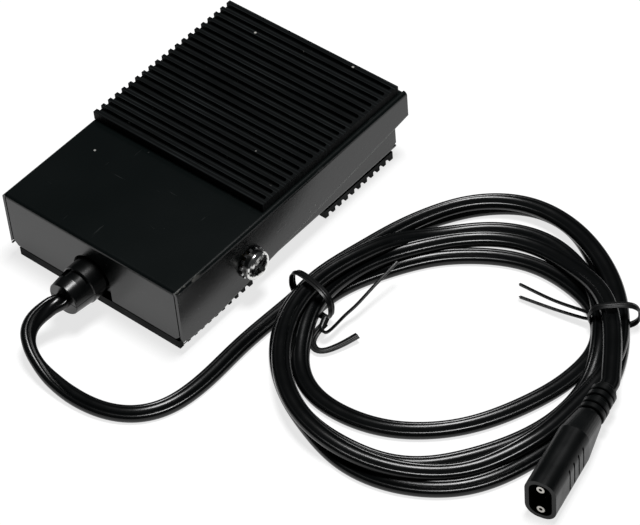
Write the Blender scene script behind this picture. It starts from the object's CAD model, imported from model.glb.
import math
from itertools import combinations

import bpy
from mathutils import Matrix, Vector, noise


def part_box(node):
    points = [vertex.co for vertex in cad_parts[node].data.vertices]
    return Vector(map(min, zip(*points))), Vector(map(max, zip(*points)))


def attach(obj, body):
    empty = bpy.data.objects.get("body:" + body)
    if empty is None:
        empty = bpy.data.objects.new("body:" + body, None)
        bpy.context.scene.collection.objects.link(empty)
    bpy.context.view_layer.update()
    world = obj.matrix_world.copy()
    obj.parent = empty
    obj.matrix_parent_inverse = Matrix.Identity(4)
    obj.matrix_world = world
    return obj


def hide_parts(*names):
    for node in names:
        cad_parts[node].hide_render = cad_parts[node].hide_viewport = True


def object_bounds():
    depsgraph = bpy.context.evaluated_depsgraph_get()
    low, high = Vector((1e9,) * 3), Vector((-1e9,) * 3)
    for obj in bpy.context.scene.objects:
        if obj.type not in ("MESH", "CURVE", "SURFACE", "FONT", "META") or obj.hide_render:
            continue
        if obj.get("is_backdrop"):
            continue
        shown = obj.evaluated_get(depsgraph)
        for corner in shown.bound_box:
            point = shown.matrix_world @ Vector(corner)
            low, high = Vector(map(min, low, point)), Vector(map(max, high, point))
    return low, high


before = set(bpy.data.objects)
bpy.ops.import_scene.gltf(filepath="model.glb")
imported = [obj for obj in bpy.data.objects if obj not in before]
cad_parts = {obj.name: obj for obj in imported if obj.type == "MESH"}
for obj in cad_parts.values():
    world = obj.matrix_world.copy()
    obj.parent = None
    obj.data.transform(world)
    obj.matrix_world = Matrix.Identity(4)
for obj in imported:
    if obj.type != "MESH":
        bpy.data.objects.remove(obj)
CAD_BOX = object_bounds()
TREADLE_LOW, TREADLE_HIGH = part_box("treadle")
MM = 0.001
# Mats: pitch of the ribs, and from a mat's end to the middle of its first groove (end rib, half a groove)
RIB_PITCH = 3.05 * MM
FIRST_GROOVE = (1.6 + 1.8 / 2) * MM
# Treadle skirts' lower edge: level stretch at the toe, its height there and at the heel
SKIRT_LEVEL, SKIRT_TOE_Z, SKIRT_HEEL_Z = 16 * MM, 4 * MM, 15.5 * MM


# ---------------------------------------------------------------- camera
def look(azimuth, elevation, roll, distance, target, lens):
    """Camera at an azimuth from -Y towards +X, rolled about its own axis."""
    a, e = math.radians(azimuth), math.radians(elevation)
    back = Vector((math.sin(a) * math.cos(e), -math.cos(a) * math.cos(e), math.sin(e)))
    right = (-back).cross(Vector((0, 0, 1))).normalized()
    down = (-back).cross(right)
    x = math.cos(roll) * right + math.sin(roll) * down
    y = math.sin(roll) * right - math.cos(roll) * down
    data = bpy.data.cameras.new("camera")
    data.sensor_width = 36  # mm, as the lens
    data.lens = lens
    data.clip_start = 0.01
    cam = bpy.data.objects.new("camera", data)
    bpy.context.scene.collection.objects.link(cam)
    m = Matrix((x, y, back)).transposed().to_4x4()
    m.translation = Vector(target) + back * distance
    cam.matrix_world = m
    bpy.context.scene.camera = cam


look(azimuth=43.87, elevation=45.87, roll=0.0948, distance=0.8715, target=(0.04297, -0.00075, 0), lens=164.0)


# ---------------------------------------------------------------- shared mesh helpers
# Edges that fold by more degrees than this are shaded sharp
SHARP_ANGLE = 50


def spline(points, step):
    """Points on a smooth curve through the given ones, about step apart."""
    p = [Vector(q) for q in points]
    n = len(p)
    out = []
    for i in range(n - 1):
        a, b, c, d = (p[min(max(i + k, 0), n - 1)] for k in (-1, 0, 1, 2))
        m = max(1, round((c - b).length / step))
        for j in range(m):
            t = j / m
            out.append(0.5 * ((2 * b) + (c - a) * t + (2 * a - 5 * b + 4 * c - d) * t * t
                              + (3 * b - a - 3 * c + d) * t ** 3))
    out.append(p[-1])
    return out


def sweep(name, path, section, rolls, material, closed=False, up=(0, 0, 1)):
    """Mesh tube: section's (across, up) points carried along the path, level unless rolled."""
    n, m = len(path), len(section)
    up = Vector(up)
    verts, faces = [], []
    for i, p in enumerate(path):
        a = path[(i - 1) % n] if closed else path[max(i - 1, 0)]
        b = path[(i + 1) % n] if closed else path[min(i + 1, n - 1)]
        t = (b - a).normalized()
        side = t.cross(up)
        side = side.normalized() if side.length > 1e-6 else Vector((1, 0, 0))
        high = side.cross(t)
        c, s = math.cos(rolls[i]), math.sin(rolls[i])
        for x, y in section:
            verts.append(p + side * (x * c - y * s) + high * (x * s + y * c))
    for i in range(n if closed else n - 1):
        j = (i + 1) % n
        for k in range(m):
            l = (k + 1) % m
            faces.append((i * m + k, i * m + l, j * m + l, j * m + k))
    if not closed:
        faces.append(tuple(range(m - 1, -1, -1)))
        faces.append(tuple((n - 1) * m + k for k in range(m)))
    me = bpy.data.meshes.new(name)
    me.from_pydata([tuple(v) for v in verts], [], faces)
    me.validate()
    me.shade_smooth()
    me.set_sharp_from_angle(angle=math.radians(SHARP_ANGLE))
    me.materials.append(material)
    o = bpy.data.objects.new(name, me)
    bpy.context.scene.collection.objects.link(o)
    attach(o, "base")
    return o


# ---------------------------------------------------------------- materials
class Nodes:
    """Short hand for building a Principled material from nodes, in object coordinates (metres)."""

    def __init__(self, name, base, rough, metal=0.0, spec=0.5):
        self.mat = bpy.data.materials.new(name)
        self.mat.use_nodes = True
        self.t = self.mat.node_tree
        self.b = self.t.nodes["Principled BSDF"]
        self.b.inputs["Base Color"].default_value = (*base, 1)
        self.b.inputs["Roughness"].default_value = rough
        self.b.inputs["Metallic"].default_value = metal
        self.b.inputs["Specular IOR Level"].default_value = spec
        self.xyz = self.t.nodes.new("ShaderNodeTexCoord").outputs["Object"]

    def link(self, a, b):
        self.t.links.new(a, b)

    def scaled(self, v):
        n = self.t.nodes.new("ShaderNodeMapping")
        n.inputs["Scale"].default_value = v
        self.link(self.xyz, n.inputs["Vector"])
        return n.outputs["Vector"]

    def noise(self, scale, detail=3.0, rough=0.5, vec=None):
        n = self.t.nodes.new("ShaderNodeTexNoise")
        n.inputs["Scale"].default_value = scale
        n.inputs["Detail"].default_value = detail
        n.inputs["Roughness"].default_value = rough
        self.link(vec or self.xyz, n.inputs["Vector"])
        return n.outputs["Fac"]

    def cells(self, scale):
        """Distance from the middle of the nearest cell, of cells 1 / scale apart."""
        n = self.t.nodes.new("ShaderNodeTexVoronoi")
        n.inputs["Scale"].default_value = scale
        self.link(self.xyz, n.inputs["Vector"])
        return n.outputs["Distance"]

    def ramp(self, fac, a, b, low=0.0, high=1.0):
        """Low where fac is a, high where it is b, and clamped to these beyond."""
        n = self.t.nodes.new("ShaderNodeMapRange")
        n.inputs["From Min"].default_value = a
        n.inputs["From Max"].default_value = b
        n.inputs["To Min"].default_value = low
        n.inputs["To Max"].default_value = high
        self.link(fac, n.inputs["Value"])
        return n.outputs["Result"]

    def math(self, op, *values):
        n = self.t.nodes.new("ShaderNodeMath")
        n.operation = op
        for k, v in enumerate(values):
            if isinstance(v, (int, float)):
                n.inputs[k].default_value = v
            else:
                self.link(v, n.inputs[k])
        return n.outputs[0]

    def times(self, first, *others):
        for other in others:
            first = self.math("MULTIPLY", first, other)
        return first

    def axis(self, which):
        n = self.t.nodes.new("ShaderNodeSeparateXYZ")
        self.link(self.xyz, n.inputs[0])
        return n.outputs[which]

    def mix(self, fac, a, b):
        n = self.t.nodes.new("ShaderNodeMix")
        n.data_type = "RGBA"
        self.link(fac, n.inputs["Factor"])
        for k, v in (("A", a), ("B", b)):
            s = [i for i in n.inputs if i.name == k and i.type == "RGBA"][0]
            if isinstance(v, tuple):
                s.default_value = (*v, 1)
            else:
                self.link(v, s)
        return [o for o in n.outputs if o.type == "RGBA"][0]

    def color(self, value):
        self.link(value, self.b.inputs["Base Color"])

    def rough(self, value):
        self.link(value, self.b.inputs["Roughness"])

    def bump(self, height, strength, distance, normal=None):
        """Bump on top of the given normal; the last one made is the one that the surface uses."""
        n = self.t.nodes.new("ShaderNodeBump")
        n.inputs["Strength"].default_value = strength
        n.inputs["Distance"].default_value = distance
        self.link(height, n.inputs["Height"])
        if normal:
            self.link(normal, n.inputs["Normal"])
        self.link(n.outputs["Normal"], self.b.inputs["Normal"])
        return n.outputs["Normal"]


BARE, RUBBED = (0.42, 0.41, 0.38), (0.2, 0.205, 0.195)
SCRATCH, DUST = (0.03, 0.032, 0.033), (0.42, 0.42, 0.4)


def bare_corner(n):
    """Bare metal along the right-hand top fold near the toe, and down that corner."""
    half, toe, top = TREADLE_HIGH[0], TREADLE_LOW[1], TREADLE_HIGH[2]
    side = n.ramp(n.axis("X"), half - 1.1 * MM, half - 0.2 * MM)
    high = n.ramp(n.axis("Z"), top - 1.3 * MM, top - 0.4 * MM)
    near = n.ramp(n.axis("Y"), toe + 12 * MM, toe + 3 * MM)
    corner = n.ramp(n.axis("Y"), toe + 1.4 * MM, toe + 0.3 * MM)
    down = n.ramp(n.axis("Z"), top - 6 * MM, top - MM)
    patchy = n.ramp(n.noise(420, 4, 0.65, n.scaled((1, 0.6, 1))), 0.54, 0.68)
    fold = n.times(side, high, n.math("MAXIMUM", near, corner))
    return n.times(n.math("MAXIMUM", fold, n.times(side, corner, down)), patchy)


def rubbed_skirts(n):
    """Lower edge of the side skirts, level at the toe and rising to the heel."""
    toe, heel = TREADLE_LOW[1], TREADLE_HIGH[1]
    slope = (SKIRT_HEEL_Z - SKIRT_TOE_Z) / (heel - toe - SKIRT_LEVEL)
    past = n.math("MAXIMUM", n.math("SUBTRACT", n.axis("Y"), toe + SKIRT_LEVEL), 0)
    above = n.math("SUBTRACT", n.axis("Z"), n.math("ADD", n.times(past, slope), SKIRT_TOE_Z))
    return n.times(n.ramp(above, 0.7 * MM, 0.2 * MM), n.ramp(n.noise(90, 3), 0.3, 0.6, 0.4, 1.0))


def paint(name, tone, worn=False):
    """Satin black stoving enamel: fine orange peel, scratches both ways, dust and, if worn, rubbed edges."""
    n = Nodes(name, (0.0024, 0.0038, 0.0038), 0.3, 0, 0.38)
    soft = n.noise(22, 3)
    across = n.ramp(n.noise(60, 4, 0.6, n.scaled((1, 14, 14))), 0.69, 0.73)
    along = n.ramp(n.noise(48, 4, 0.6, n.scaled((13, 1, 13))), 0.7, 0.74)
    lines = n.math("MAXIMUM", across, along)
    dust = n.times(n.ramp(n.cells(260), 0.12, 0.07), n.ramp(n.noise(70, 2), 0.63, 0.68))
    base = n.mix(soft, tone, tuple(c * 1.5 for c in tone))
    base = n.mix(n.times(lines, 0.25), base, SCRATCH)
    base = n.mix(n.times(dust, 0.85), base, DUST)
    if worn:
        bare = bare_corner(n)
        base = n.mix(rubbed_skirts(n), n.mix(bare, base, BARE), RUBBED)
        n.link(n.times(bare, 0.9), n.b.inputs["Metallic"])
    n.color(base)
    n.rough(n.math("ADD", n.ramp(soft, 0.3, 0.7, 0.21, 0.28), n.times(lines, 0.1)))
    peel = n.bump(n.noise(900, 2), 0.12, 0.12 * MM)
    n.bump(lines, 0.25, 0.04 * MM, peel)
    return n.mat


def rib_edges(n, mat):
    """Rub along both edges of a mat's ribs, from the distance to the middle of the nearest groove."""
    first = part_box(mat)[0][1] + FIRST_GROOVE
    turn = n.math("DIVIDE", n.math("SUBTRACT", n.axis("Y"), first), RIB_PITCH)
    off = n.math("SUBTRACT", n.math("FRACT", n.math("ADD", turn, 0.5)), 0.5)
    away = n.times(n.math("ABSOLUTE", off), RIB_PITCH)
    rim = n.times(n.ramp(away, 0.82 * MM, 0.9 * MM), n.ramp(away, 1.16 * MM, 0.98 * MM))
    return n.times(rim, n.ramp(n.noise(150, 4, 0.65, n.scaled((0.35, 1, 1))), 0.36, 0.66, 0.1, 1.0))


def rubber(name, mat=None):
    """Black moulded rubber: fine grain, a mat's rib edges rubbed grey and a few pale specks of dust."""
    n = Nodes(name, (0.002, 0.0026, 0.0028), 0.6, 0, 0.09)
    base = n.mix(n.noise(160, 4, 0.6), (0.0008, 0.0013, 0.0015), (0.0022, 0.003, 0.0033))
    if mat:
        base = n.mix(rib_edges(n, mat), base, (0.023, 0.027, 0.028))
    dust = n.times(n.ramp(n.cells(190), 0.1, 0.06), n.ramp(n.noise(95, 2), 0.56, 0.6))
    n.color(n.mix(n.times(dust, 0.9), base, (0.5, 0.49, 0.46)))
    n.rough(n.ramp(n.noise(110, 3), 0.3, 0.7, 0.5, 0.68))
    grain = n.bump(n.noise(2600, 2), 0.22, 0.08 * MM)
    n.bump(n.noise(240, 3), 0.2, 0.1 * MM, grain)
    return n.mat


def plastic(name, dark, light, gloss, grain=1500, depth=0.1, waves=0.12, spec=0.5):
    """Moulded plastic: slight mottling, roughness between the two values of gloss and a fine grain."""
    n = Nodes(name, dark, sum(gloss) / 2, 0, spec)
    n.color(n.mix(n.noise(90, 3), dark, light))
    n.rough(n.ramp(n.noise(130, 4, 0.6), 0.3, 0.7, *gloss))
    fine = n.bump(n.noise(grain, 3), depth, 0.08 * MM)
    n.bump(n.noise(110, 2), waves, 0.15 * MM, fine)
    return n.mat


def metal(name, dark, light, polish, grain=0.15):
    """Plated or bare metal: blotches, roughness between the two values of polish and a fine grain."""
    n = Nodes(name, light, polish[0], 1.0)
    n.color(n.mix(n.noise(260, 4, 0.6), dark, light))
    n.rough(n.ramp(n.noise(500, 3), 0.3, 0.7, *polish))
    n.bump(n.noise(900, 3), grain, 0.04 * MM)
    return n.mat


# ---------------------------------------------------------------- cord
# Flat, two cores. Everything here is in mm until it is swept. The routes outside the coil repeat the
# part's own, apart from a few heights.
CORD_W, CORD_T = 5.6, 2.8
EXIT = (-0.5, -64.9, 11.3)
LEAD = [EXIT, (-0.5, -65.9, 11.3), (-1.6, -68.4, 11.2), (-3.6, -71, 11), (-5, -73.8, 10.4), (-5, -76.8, 9.2),
        (-3.4, -79.6, 7.4), (0, -81.8, 5.2), (4.6, -83.5, 3.4), (12.4, -84.7, 2), (21.6, -85.3, 1.5),
        (31, -84.2, 1.4), (39.5, -80.6, 1.4), (44.7, -74.6, 1.4), (47.1, -66, 1.4), (47.6, -54, 1.4),
        (46.8, -41, 1.5)]
COIL = (97, -5)
# Plug: middle of its mouth, degrees it is turned by, height of its axis, length with its neck
PLUG, PLUG_TURN, PLUG_Z, PLUG_L = (154.2, -39.2), 12.2, 7.4, 44.5


def plug_point(d):
    """Point on the plug's axis, a distance behind its mouth."""
    a = math.radians(PLUG_TURN)
    return (PLUG[0] - d * math.sin(a), PLUG[1] + d * math.cos(a), PLUG_Z)


TAIL = [(132.2, 24.5, 7.3), (135.6, 20, 7.4), (138.9, 15.3, 7.4), (141.8, 10.5, 7.4),
        plug_point(PLUG_L + 2.4), plug_point(PLUG_L)]
# Each turn runs clockwise from the left tie. At each angle from the coil's centre: the distance and
# height of turn 0, 1, 2 ... there. These are measured places and not worked out by a loop: report.md
# says how they were made and which rule that breaks.
TURNS = [
    (198, ((50.6, 1.4), (49.8, 4.2), (47.6, 7), (45, 1.4), (43.9, 4.2))),
    (180, ((49, 1.4), (47.6, 4.2), (44.6, 7), (41.2, 1.4), (41.8, 4.2))),
    (165, ((48.3, 1.4), (46.2, 4.2), (42.8, 6.8), (37.8, 1.4), (40.6, 4.2))),
    (150, ((50, 1.4), (48, 4.2), (44.4, 4.8), (36.9, 1.4), (40.6, 3.4))),
    (135, ((52.4, 1.4), (52.5, 4.2), (44.6, 1.8), (36.8, 1.4), (40.6, 3.6))),
    (120, ((57.4, 1.4), (57.4, 4.2), (48.1, 1.4), (37.1, 1.4), (43, 2.8))),
    (105, ((61.2, 1.4), (59.7, 4.2), (50.6, 1.4), (38.8, 1.4), (45.2, 3))),
    (90, ((59.4, 1.4), (57.4, 4.2), (50.8, 1.4), (40.6, 1.4), (45.9, 3.2))),
    (75, ((53, 1.4), (54.2, 4.2), (47.4, 1.4), (41.8, 1.4), (45.2, 4.2))),
    (60, ((50.4, 1.4), (51.2, 4.2), (45.6, 4.2), (44, 1.4), (46.4, 7))),
    (48, ((49.2, 1.4), (49.2, 4.2), (43.6, 4.2), (43.7, 1.4), (46.2, 7.2))),
    (30, ((47.6, 1.4), (47, 4.2), (42.3, 4.1), (40.8, 1.4))),
    (20, ((46.9, 1.4), (44.9, 4.2), (41.8, 1.4), (36.8, 1.4))),
    (0, ((46.3, 1.4), (42.2, 4.2), (40.8, 1.4), (31.9, 1.4))),
    (-15, ((47, 1.4), (43.6, 4.2), (40.4, 1.4), (30.1, 1.4))),
    (-30, ((49, 1.4), (44.8, 3.8), (40.5, 1.4), (29.8, 1.4))),
    (-46, ((52.4, 1.4), (47.2, 2), (42.1, 1.4), (30.9, 1.4))),
    (-60, ((53.4, 1.4), (49.2, 3.4), (44.9, 1.4), (32.3, 1.4))),
    (-75, ((53.6, 1.4), (50.5, 4.2), (47.2, 1.4), (34.2, 1.4))),
    (-90, ((52.4, 1.4), (51.4, 5.6), (49.2, 3.2), (37.2, 1.4))),
    (-105, ((50.2, 1.4), (52.2, 7), (51, 4.2), (40.5, 1.4))),
    (-120, ((50.4, 1.4), (51.4, 7), (50.9, 4.2), (44.1, 1.4))),
    (-135, ((50.8, 1.4), (50, 7), (50.4, 4.2), (45.2, 1.4))),
]
# Degrees between the coil's points, and mm that a degree counts for along the coil's curve
STEP, RUN_PER_DEGREE = 6, 0.8
# Laying the strands: rounds, and the shares of an overlap, of a kink and of a shift undone in each
ROUNDS, PUSH, SMOOTH, HOLD = 120, 0.25, 0.1, 0.2


def push_apart(p, q):
    """Part two strands, each a [distance, height], where their jackets would share a place."""
    dr, dz = (q[0] - p[0]) / (CORD_W + 0.1), (q[1] - p[1]) / (CORD_T + 0.1)
    d = math.hypot(dr, dz) or 1e-6
    if d < 1:
        push = PUSH * (1 - d) / d
        for strand, way in ((p, -1), (q, 1)):
            strand[0] += way * push * dr * CORD_W
            strand[1] += way * push * dz * CORD_T


def coil_points():
    """The coil's turns as one line, with strands pushed apart where they would share a place."""
    knots = [(a - 360 * k, *places[k]) for k in range(5) for a, places in TURNS if k < len(places)]
    knots.sort(key=lambda q: -q[0])
    curve = spline([Vector((a * RUN_PER_DEGREE, r, z)) for a, r, z in knots], RUN_PER_DEGREE)
    first, last = knots[0][0], knots[-1][0]
    line = []
    for i in range(int((first - last) / STEP) + 1):
        run = (first - i * STEP) * RUN_PER_DEGREE
        nearest = min(curve, key=lambda q: abs(q.x - run))
        line.append([nearest.y, nearest.z])
    start = [tuple(q) for q in line]
    per_turn = 360 // STEP
    for _ in range(ROUNDS):
        for g in range(per_turn):
            for i, j in combinations(range(g, len(line), per_turn), 2):
                push_apart(line[i], line[j])
        for i in range(1, len(line) - 1):
            for c in (0, 1):
                mid = (line[i - 1][c] + line[i + 1][c]) / 2
                line[i][c] += SMOOTH * (mid - line[i][c])
                line[i][c] += HOLD * (start[i][c] - line[i][c])
            line[i][1] = max(line[i][1], CORD_T / 2 + 0.05)
    out = []
    for i, (r, z) in enumerate(line):
        a = math.radians(first - i * STEP)
        out.append((COIL[0] + r * math.cos(a), COIL[1] + r * math.sin(a), z))
    return out


def relaxed(points, rounds=12, ends=3):
    """Points moved half-way to the middle of their neighbours, but for a few at both ends."""
    for _ in range(rounds):
        points = [p * 0.5 + (points[i - 1] + points[i + 1]) * 0.25 if ends <= i < len(points) - ends else p
                  for i, p in enumerate(points)]
    return points


def jacket_section(web=0.74, lobe=1.08, n=21):
    """Outline of the jacket: two lobes with a slightly sunk flat between them, web of the lobes' height."""
    b = CORD_T / 2
    x = CORD_W / 2 - lobe
    stop = math.pi - math.asin(web)
    turns = (-stop + 2 * stop * k / n for k in range(n + 1))
    right = [(x + lobe * math.cos(a), b * math.sin(a)) for a in turns]
    middle = b * web * 0.97
    return right + [(0, middle)] + [(-px, -py) for px, py in right] + [(0, -middle)]


# The lead stands almost on edge in its first bend and lies flat again on the floor: run from the bush
# in mm, degrees
EDGE = [(0, 0), (6, 34), (12, 58), (18, 64), (25, 50), (32, 22), (40, 6), (60, 0)]


def on_edge(run):
    for (d0, r0), (d1, r1) in zip(EDGE, EDGE[1:]):
        if run < d1:
            return r0 + (r1 - r0) * (run - d0) / (d1 - d0)
    return 0


def cord_rolls(path, fade=24, sway=0.3):
    """Roll at each point of the path: the lead's, and a slow sway that fades out at both ends."""
    rolls = []
    run = 0.0
    for i, p in enumerate(path):
        run += (p - path[i - 1]).length if i else 0
        ends = min(1, i / fade, (len(path) - 1 - i) / fade)
        rolls.append(math.radians(on_edge(run)) + ends * sway * noise.noise(Vector((i * 0.024, 3.1, 0))))
    return rolls


path = relaxed(spline([Vector(p) for p in LEAD + coil_points()[1:] + TAIL], 2.4))
for p in path:
    p.z = max(p.z, CORD_T / 2 + 0.02)
path = spline(path, 1.2)

jacket = plastic("cord_jacket", (0.0013, 0.0016, 0.0017), (0.0024, 0.0028, 0.003), (0.2, 0.28),
                 grain=700, depth=0.01, waves=0.03, spec=0.36)
path_m = [p * MM for p in path]
cord = sweep("cord", path_m, [(x * MM, y * MM) for x, y in jacket_section()], cord_rolls(path), jacket)
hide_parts("cord_lead", "cord_coil", "cord_tail")


# ---------------------------------------------------------------- twist ties
def ribbon(w, t, core):
    """Section of a flat plastic ribbon with a wire of radius core down its middle."""
    half, h = w / 2, t / 2
    edge = [(-half, h * 0.6), (-half * 0.62, h), (-core, h)]
    around = [math.radians(d) for d in (150, 120, 90, 60, 30)]
    arc = [(core * math.cos(a), core * math.sin(a)) for a in around]
    upper = edge + [(x, max(y, h)) for x, y in arc] + [(-x, y) for x, y in reversed(edge)]
    return upper[::-1] + [(x, -y) for x, y in upper]


RIBBON = [(x * MM, y * MM) for x, y in ribbon(2.3, 0.42, 0.5)]
tie_skin = plastic("tie_plastic", (0.0025, 0.0027, 0.0028), (0.005, 0.0053, 0.0055), (0.3, 0.42),
                   grain=1200, depth=0.06, waves=0.06, spec=0.3)


def tie_loop(name, place, turn, w, high, lean):
    """Rounded loop round the strands, w wide and leaning along them."""
    a = math.radians(turn)
    run = Vector((-math.sin(a), math.cos(a), 0))
    out = Vector((math.cos(a), math.sin(a), 0))
    pts = []
    for k in range(40):
        q = 2 * math.pi * k / 40
        x = abs(math.cos(q)) ** 0.75 * math.copysign(w / 2, math.cos(q))
        z = high / 2 + abs(math.sin(q)) ** 0.75 * math.copysign(high / 2, math.sin(q))
        p = Vector((*place, 0)) + out * x + run * (lean * (z - high / 2))
        p.z = max(z, 0.5)
        pts.append(p * MM)
    return sweep(name, pts, RIBBON, [math.pi / 2] * len(pts), tie_skin, closed=True, up=run)


def tie_end(name, points, roll0, roll1):
    """Free end of a tie, turned evenly from one roll to the other."""
    pts = [p * MM for p in spline(points, 0.8)]
    rolls = [roll0 + (roll1 - roll0) * i / (len(pts) - 1) for i in range(len(pts))]
    return sweep(name, pts, RIBBON, rolls, tie_skin)


ties = []
left = tie_loop("tie_left_loop", (53, -16), -10, 18, 10.6, 0.1)
ties.append((left, "twist_tie_left", [
    tie_end("tie_left_wire_end", [(62.4, -20.6, 5.6), (63.6, -24, 4.6), (64.8, -24, 3.6), (65.1, -21.6, 3.2),
                                  (65.2, -15.6, 3.8), (66, -10.6, 5), (66.4, -2, 6.8), (67.1, 6.6, 8.6)],
            0.7, 1.25),
    tie_end("tie_left_flat_end", [(62, -20.8, 3), (61.6, -24.4, 1.8), (62.8, -27.8, 1.4), (65.6, -29.2, 1.3),
                                  (68, -27.7, 1.3), (70.2, -23.5, 1.5), (72.1, -18.2, 2)], 0.2, 0.0)]))
right = tie_loop("tie_right_loop", (129, 29.8), 40, 14.6, 10.4, -0.1)
ties.append((right, "twist_tie_right", [
    tie_end("tie_right_low_end", [(123.6, 26.4, 3.4), (121, 25.8, 2.6), (112, 24.2, 1.8), (100.2, 22.7, 1)],
            -0.7, -0.9),
    tie_end("tie_right_high_end", [(123.4, 27, 4.6), (120.6, 26.6, 4.6), (111, 24.6, 4.8),
                                   (99.7, 23.3, 5.6)], -0.75, -0.95)]))
for loop, node, ends in ties:
    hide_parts(node)

# ---------------------------------------------------------------- the part's own pieces
looks = {
    "treadle": paint("treadle_enamel", (0.0017, 0.0029, 0.0029), worn=True),
    "base_pan": paint("pan_enamel", (0.005, 0.0062, 0.0056)),
    "treadle_mat": rubber("treadle_mat_rubber", "treadle_mat"),
    "toe_foot_mat": rubber("foot_mat_rubber", "toe_foot_mat"),
    "heel_foot_mat": rubber("heel_mat_rubber", "heel_foot_mat"),
    "stop_buffers": rubber("buffer_rubber"),
    "pivot_screws": metal("nickel_plate", (0.6, 0.6, 0.59), (0.8, 0.8, 0.78), (0.1, 0.18), 0.03),
    "star_washers": metal("washer_steel", (0.3, 0.3, 0.31), (0.5, 0.5, 0.5), (0.16, 0.28), 0.08),
    "pivot_bushes": metal("bronze", (0.42, 0.3, 0.13), (0.6, 0.44, 0.2), (0.3, 0.45)),
    "clinch_nuts": metal("zinc_plate", (0.5, 0.51, 0.52), (0.74, 0.75, 0.76), (0.24, 0.4)),
    "return_spring": metal("spring_steel", (0.2, 0.2, 0.21), (0.36, 0.36, 0.38), (0.28, 0.42)),
    "switch_case": plastic("switch_thermoset", (0.012, 0.012, 0.014), (0.022, 0.022, 0.025), (0.45, 0.6),
                           1800, 0.12),
    "switch_plunger": plastic("red_nylon", (0.3, 0.03, 0.025), (0.4, 0.05, 0.04), (0.3, 0.4)),
    "switch_terminals": metal("tinned_brass", (0.55, 0.45, 0.24), (0.72, 0.6, 0.34), (0.22, 0.38)),
    "plug_contacts": metal("contact_plate", (0.3, 0.29, 0.27), (0.6, 0.58, 0.54), (0.14, 0.26)),
    "bush_upper_half": plastic("bush_nylon", (0.0016, 0.0019, 0.002), (0.003, 0.0034, 0.0035), (0.2, 0.3),
                               1400, spec=0.4),
    "plug_housing": plastic("plug_pvc", (0.0018, 0.0023, 0.0024), (0.0034, 0.004, 0.0041), (0.3, 0.42),
                            1900, 0.16, spec=0.2),
    "plug_insert": plastic("insert_pvc", (0.002, 0.002, 0.002), (0.004, 0.004, 0.004), (0.5, 0.62),
                           1900, 0.16),
    "cord_in_bush": jacket,
    "core_left": plastic("dark_core", (0.008, 0.008, 0.008), (0.014, 0.014, 0.014), (0.28, 0.4)),
    "core_right": plastic("light_core", (0.66, 0.66, 0.63), (0.76, 0.76, 0.73), (0.28, 0.4)),
    "solder_sleeves": plastic("sleeve", (0.01, 0.01, 0.01), (0.018, 0.018, 0.018), (0.42, 0.56)),
}
# Pieces that share another one's material
alike = {
    "switch_case": ["switch_cover"],
    "bush_upper_half": ["bush_lower_half"],
    "clinch_nuts": ["striker", "spring_stud", "spring_cup", "switch_bracket", "bracket_rivets",
                    "switch_nuts"],
    "pivot_screws": ["switch_screws", "lever_pin", "switch_lever"],
}
looks.update({node: looks[first] for first, nodes in alike.items() for node in nodes})
for node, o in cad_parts.items():
    if node not in looks or o.type != "MESH":
        continue
    if not o.material_slots:
        o.data.materials.append(looks[node])
    for slot in o.material_slots:
        slot.material = looks[node]


# ---------------------------------------------------------------- stage and light
FLOOR_HALF = 12.0
FLOOR_TONE, FLOOR_GLOW = 0.32, 0.76


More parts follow.
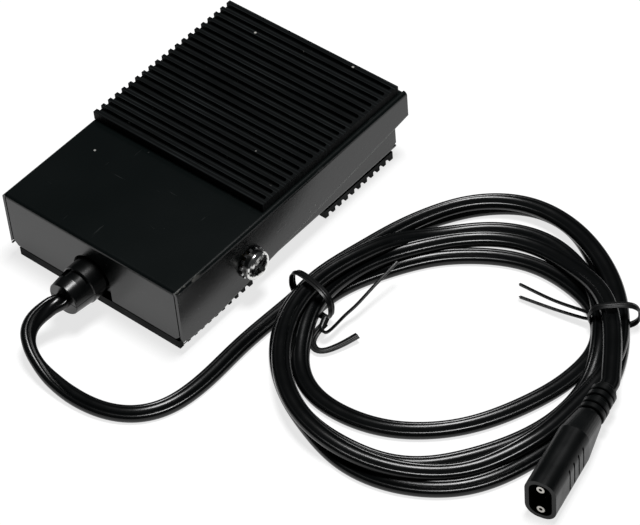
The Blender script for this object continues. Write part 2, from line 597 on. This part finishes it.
def floor():
    """Pale floor that takes the shadow, and glows only to the eye, to mirrors and through glass."""
    me = bpy.data.meshes.new("floor")
    s = FLOOR_HALF
    me.from_pydata([(-s, -s, 0), (s, -s, 0), (s, s, 0), (-s, s, 0)], [], [(0, 1, 2, 3)])
    o = bpy.data.objects.new("floor", me)
    bpy.context.scene.collection.objects.link(o)
    m = bpy.data.materials.new("floor_paper")
    m.use_nodes = True
    t = m.node_tree
    t.nodes.clear()
    out = t.nodes.new("ShaderNodeOutputMaterial")
    add = t.nodes.new("ShaderNodeAddShader")
    flat = t.nodes.new("ShaderNodeBsdfDiffuse")
    flat.inputs["Color"].default_value = (FLOOR_TONE, FLOOR_TONE, FLOOR_TONE, 1)
    glow = t.nodes.new("ShaderNodeEmission")
    glow.inputs["Color"].default_value = (1, 1, 1, 1)
    rays = t.nodes.new("ShaderNodeLightPath")
    seen = rays.outputs["Is Camera Ray"]
    for kind in ("Is Glossy Ray", "Is Transmission Ray"):
        either = t.nodes.new("ShaderNodeMath")
        either.operation = "MAXIMUM"
        t.links.new(seen, either.inputs[0])
        t.links.new(rays.outputs[kind], either.inputs[1])
        seen = either.outputs[0]
    part = t.nodes.new("ShaderNodeMath")
    part.operation = "MULTIPLY"
    part.inputs[1].default_value = FLOOR_GLOW
    t.links.new(seen, part.inputs[0])
    t.links.new(part.outputs[0], glow.inputs["Strength"])
    t.links.new(flat.outputs[0], add.inputs[0])
    t.links.new(glow.outputs[0], add.inputs[1])
    t.links.new(add.outputs[0], out.inputs["Surface"])
    me.materials.append(m)
    o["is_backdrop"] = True


floor()


def lamp(name, azimuth, elevation, distance, size, power, target):
    """Round lamp of size metres and power watts, seen from the target at the azimuth and elevation."""
    a, e = math.radians(azimuth), math.radians(elevation)
    d = Vector((math.sin(a) * math.cos(e), -math.cos(a) * math.cos(e), math.sin(e)))
    data = bpy.data.lights.new(name, "AREA")
    data.shape = "DISK"
    data.size = size
    data.energy = power
    o = bpy.data.objects.new(name, data)
    bpy.context.scene.collection.objects.link(o)
    o.location = Vector(target) + d * distance
    o.rotation_euler = d.to_track_quat("Z", "Y").to_euler()


lamp("key", azimuth=170, elevation=82, distance=1.2, size=0.4, power=13, target=(0.05, -0.01, 0))
world = bpy.data.worlds.new("world")
world.use_nodes = True
background = world.node_tree.nodes["Background"]
background.inputs["Color"].default_value = (0.04, 0.042, 0.043, 1)
background.inputs["Strength"].default_value = 1.0
bpy.context.scene.world = world
bpy.context.scene.view_settings.view_transform = "Standard"


def plain(v):
    return [plain(x) for x in v] if hasattr(v, "__len__") else float(v)


{"cad": plain(CAD_BOX), "visual": plain(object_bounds())}
